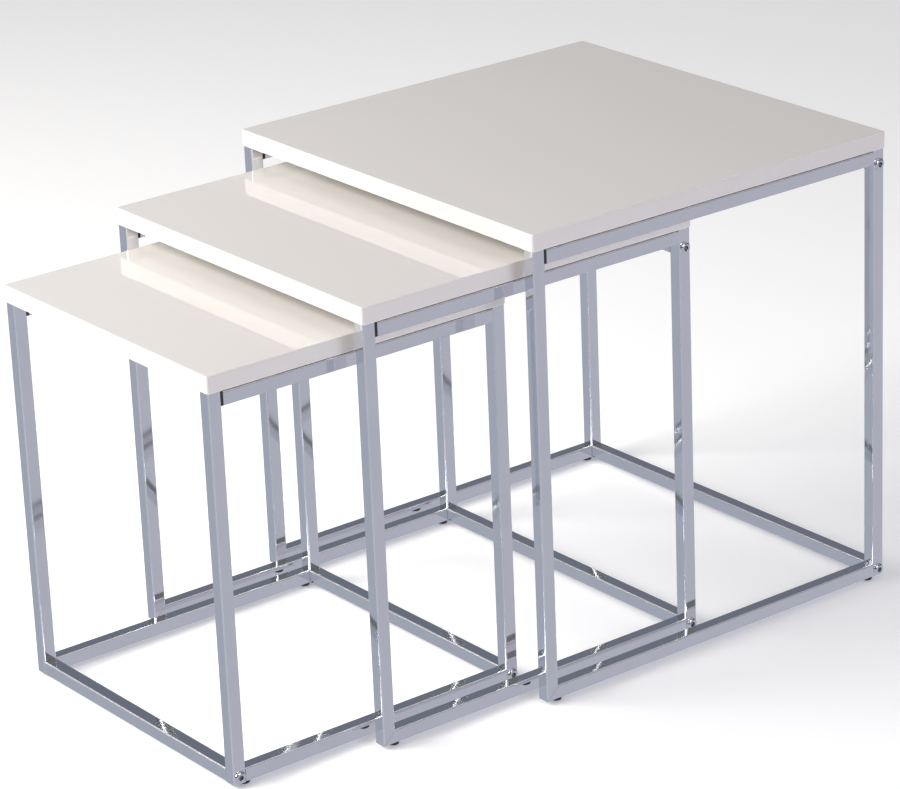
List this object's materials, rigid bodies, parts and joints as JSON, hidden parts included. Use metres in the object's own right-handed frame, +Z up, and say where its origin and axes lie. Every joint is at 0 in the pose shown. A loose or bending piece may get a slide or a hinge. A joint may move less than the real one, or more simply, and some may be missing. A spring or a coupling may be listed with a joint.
{
  "type": "nest of tables",
  "caption": "Nest of side tables with white gloss tops on chromed square-tube frames; each smaller table slides in under the next larger one.",
  "frame": {"origin": "on the floor, at the middle of the bounding box of the set as it stands, with the smaller tables pulled out in steps", "axes": "+Z up; +X to the right along the front edges, for someone in front of the small table; -Y is the front, the way the smaller tables pull out"},
  "size_m": [0.4044, 0.671, 0.415],
  "materials": {
    "board": "white high-gloss lacquer on board",
    "chrome_tube": "polished chrome on 12 mm square steel tube",
    "chrome_bolt": "polished chrome on steel",
    "zinc_screw": "zinc-plated steel",
    "black_plastic": "black moulded plastic, fine texture"
  },
  "bodies": {
    "large_table": {"large_board": "board", "large_side_frame_left": "chrome_tube", "large_rail_plug_left": "black_plastic", "large_glide_front_left": "black_plastic", "large_glide_back_left": "black_plastic", "large_screw_front_left": "zinc_screw", "large_screw_back_left": "zinc_screw", "large_bolt_back_top_left": "chrome_bolt", "large_bolt_back_bottom_left": "chrome_bolt", "large_side_frame_right": "chrome_tube", "large_rail_plug_right": "black_plastic", "large_glide_front_right": "black_plastic", "large_glide_back_right": "black_plastic", "large_screw_front_right": "zinc_screw", "large_screw_back_right": "zinc_screw", "large_bolt_back_top_right": "chrome_bolt", "large_bolt_back_bottom_right": "chrome_bolt", "large_rail_back_top": "chrome_tube", "large_rail_back_bottom": "chrome_tube"},
    "medium_table": {"medium_board": "board", "medium_side_frame_left": "chrome_tube", "medium_rail_plug_left": "black_plastic", "medium_glide_front_left": "black_plastic", "medium_glide_back_left": "black_plastic", "medium_screw_front_left": "zinc_screw", "medium_screw_back_left": "zinc_screw", "medium_bolt_back_top_left": "chrome_bolt", "medium_bolt_back_bottom_left": "chrome_bolt", "medium_side_frame_right": "chrome_tube", "medium_rail_plug_right": "black_plastic", "medium_glide_front_right": "black_plastic", "medium_glide_back_right": "black_plastic", "medium_screw_front_right": "zinc_screw", "medium_screw_back_right": "zinc_screw", "medium_bolt_back_top_right": "chrome_bolt", "medium_bolt_back_bottom_right": "chrome_bolt", "medium_rail_back_top": "chrome_tube", "medium_rail_back_bottom": "chrome_tube"},
    "small_table": {"small_board": "board", "small_side_frame_left": "chrome_tube", "small_rail_plug_left": "black_plastic", "small_glide_front_left": "black_plastic", "small_glide_back_left": "black_plastic", "small_screw_front_left": "zinc_screw", "small_screw_back_left": "zinc_screw", "small_bolt_back_bottom_left": "chrome_bolt", "small_bolt_front_bottom_left": "chrome_bolt", "small_side_frame_right": "chrome_tube", "small_rail_plug_right": "black_plastic", "small_glide_front_right": "black_plastic", "small_glide_back_right": "black_plastic", "small_screw_front_right": "zinc_screw", "small_screw_back_right": "zinc_screw", "small_bolt_back_bottom_right": "chrome_bolt", "small_bolt_front_bottom_right": "chrome_bolt", "small_rail_back_bottom": "chrome_tube", "small_rail_front_bottom": "chrome_tube"}
  },
  "joints": [
    {"name": "medium_slide", "type": "slide", "parent": "large_table", "child": "medium_table", "axis": [0, -1, 0], "range_m": [-0.184, 0.2]},
    {"name": "small_slide", "type": "slide", "parent": "medium_table", "child": "small_table", "axis": [0, -1, 0], "range_m": [-0.164, 0.173]}
  ]
}
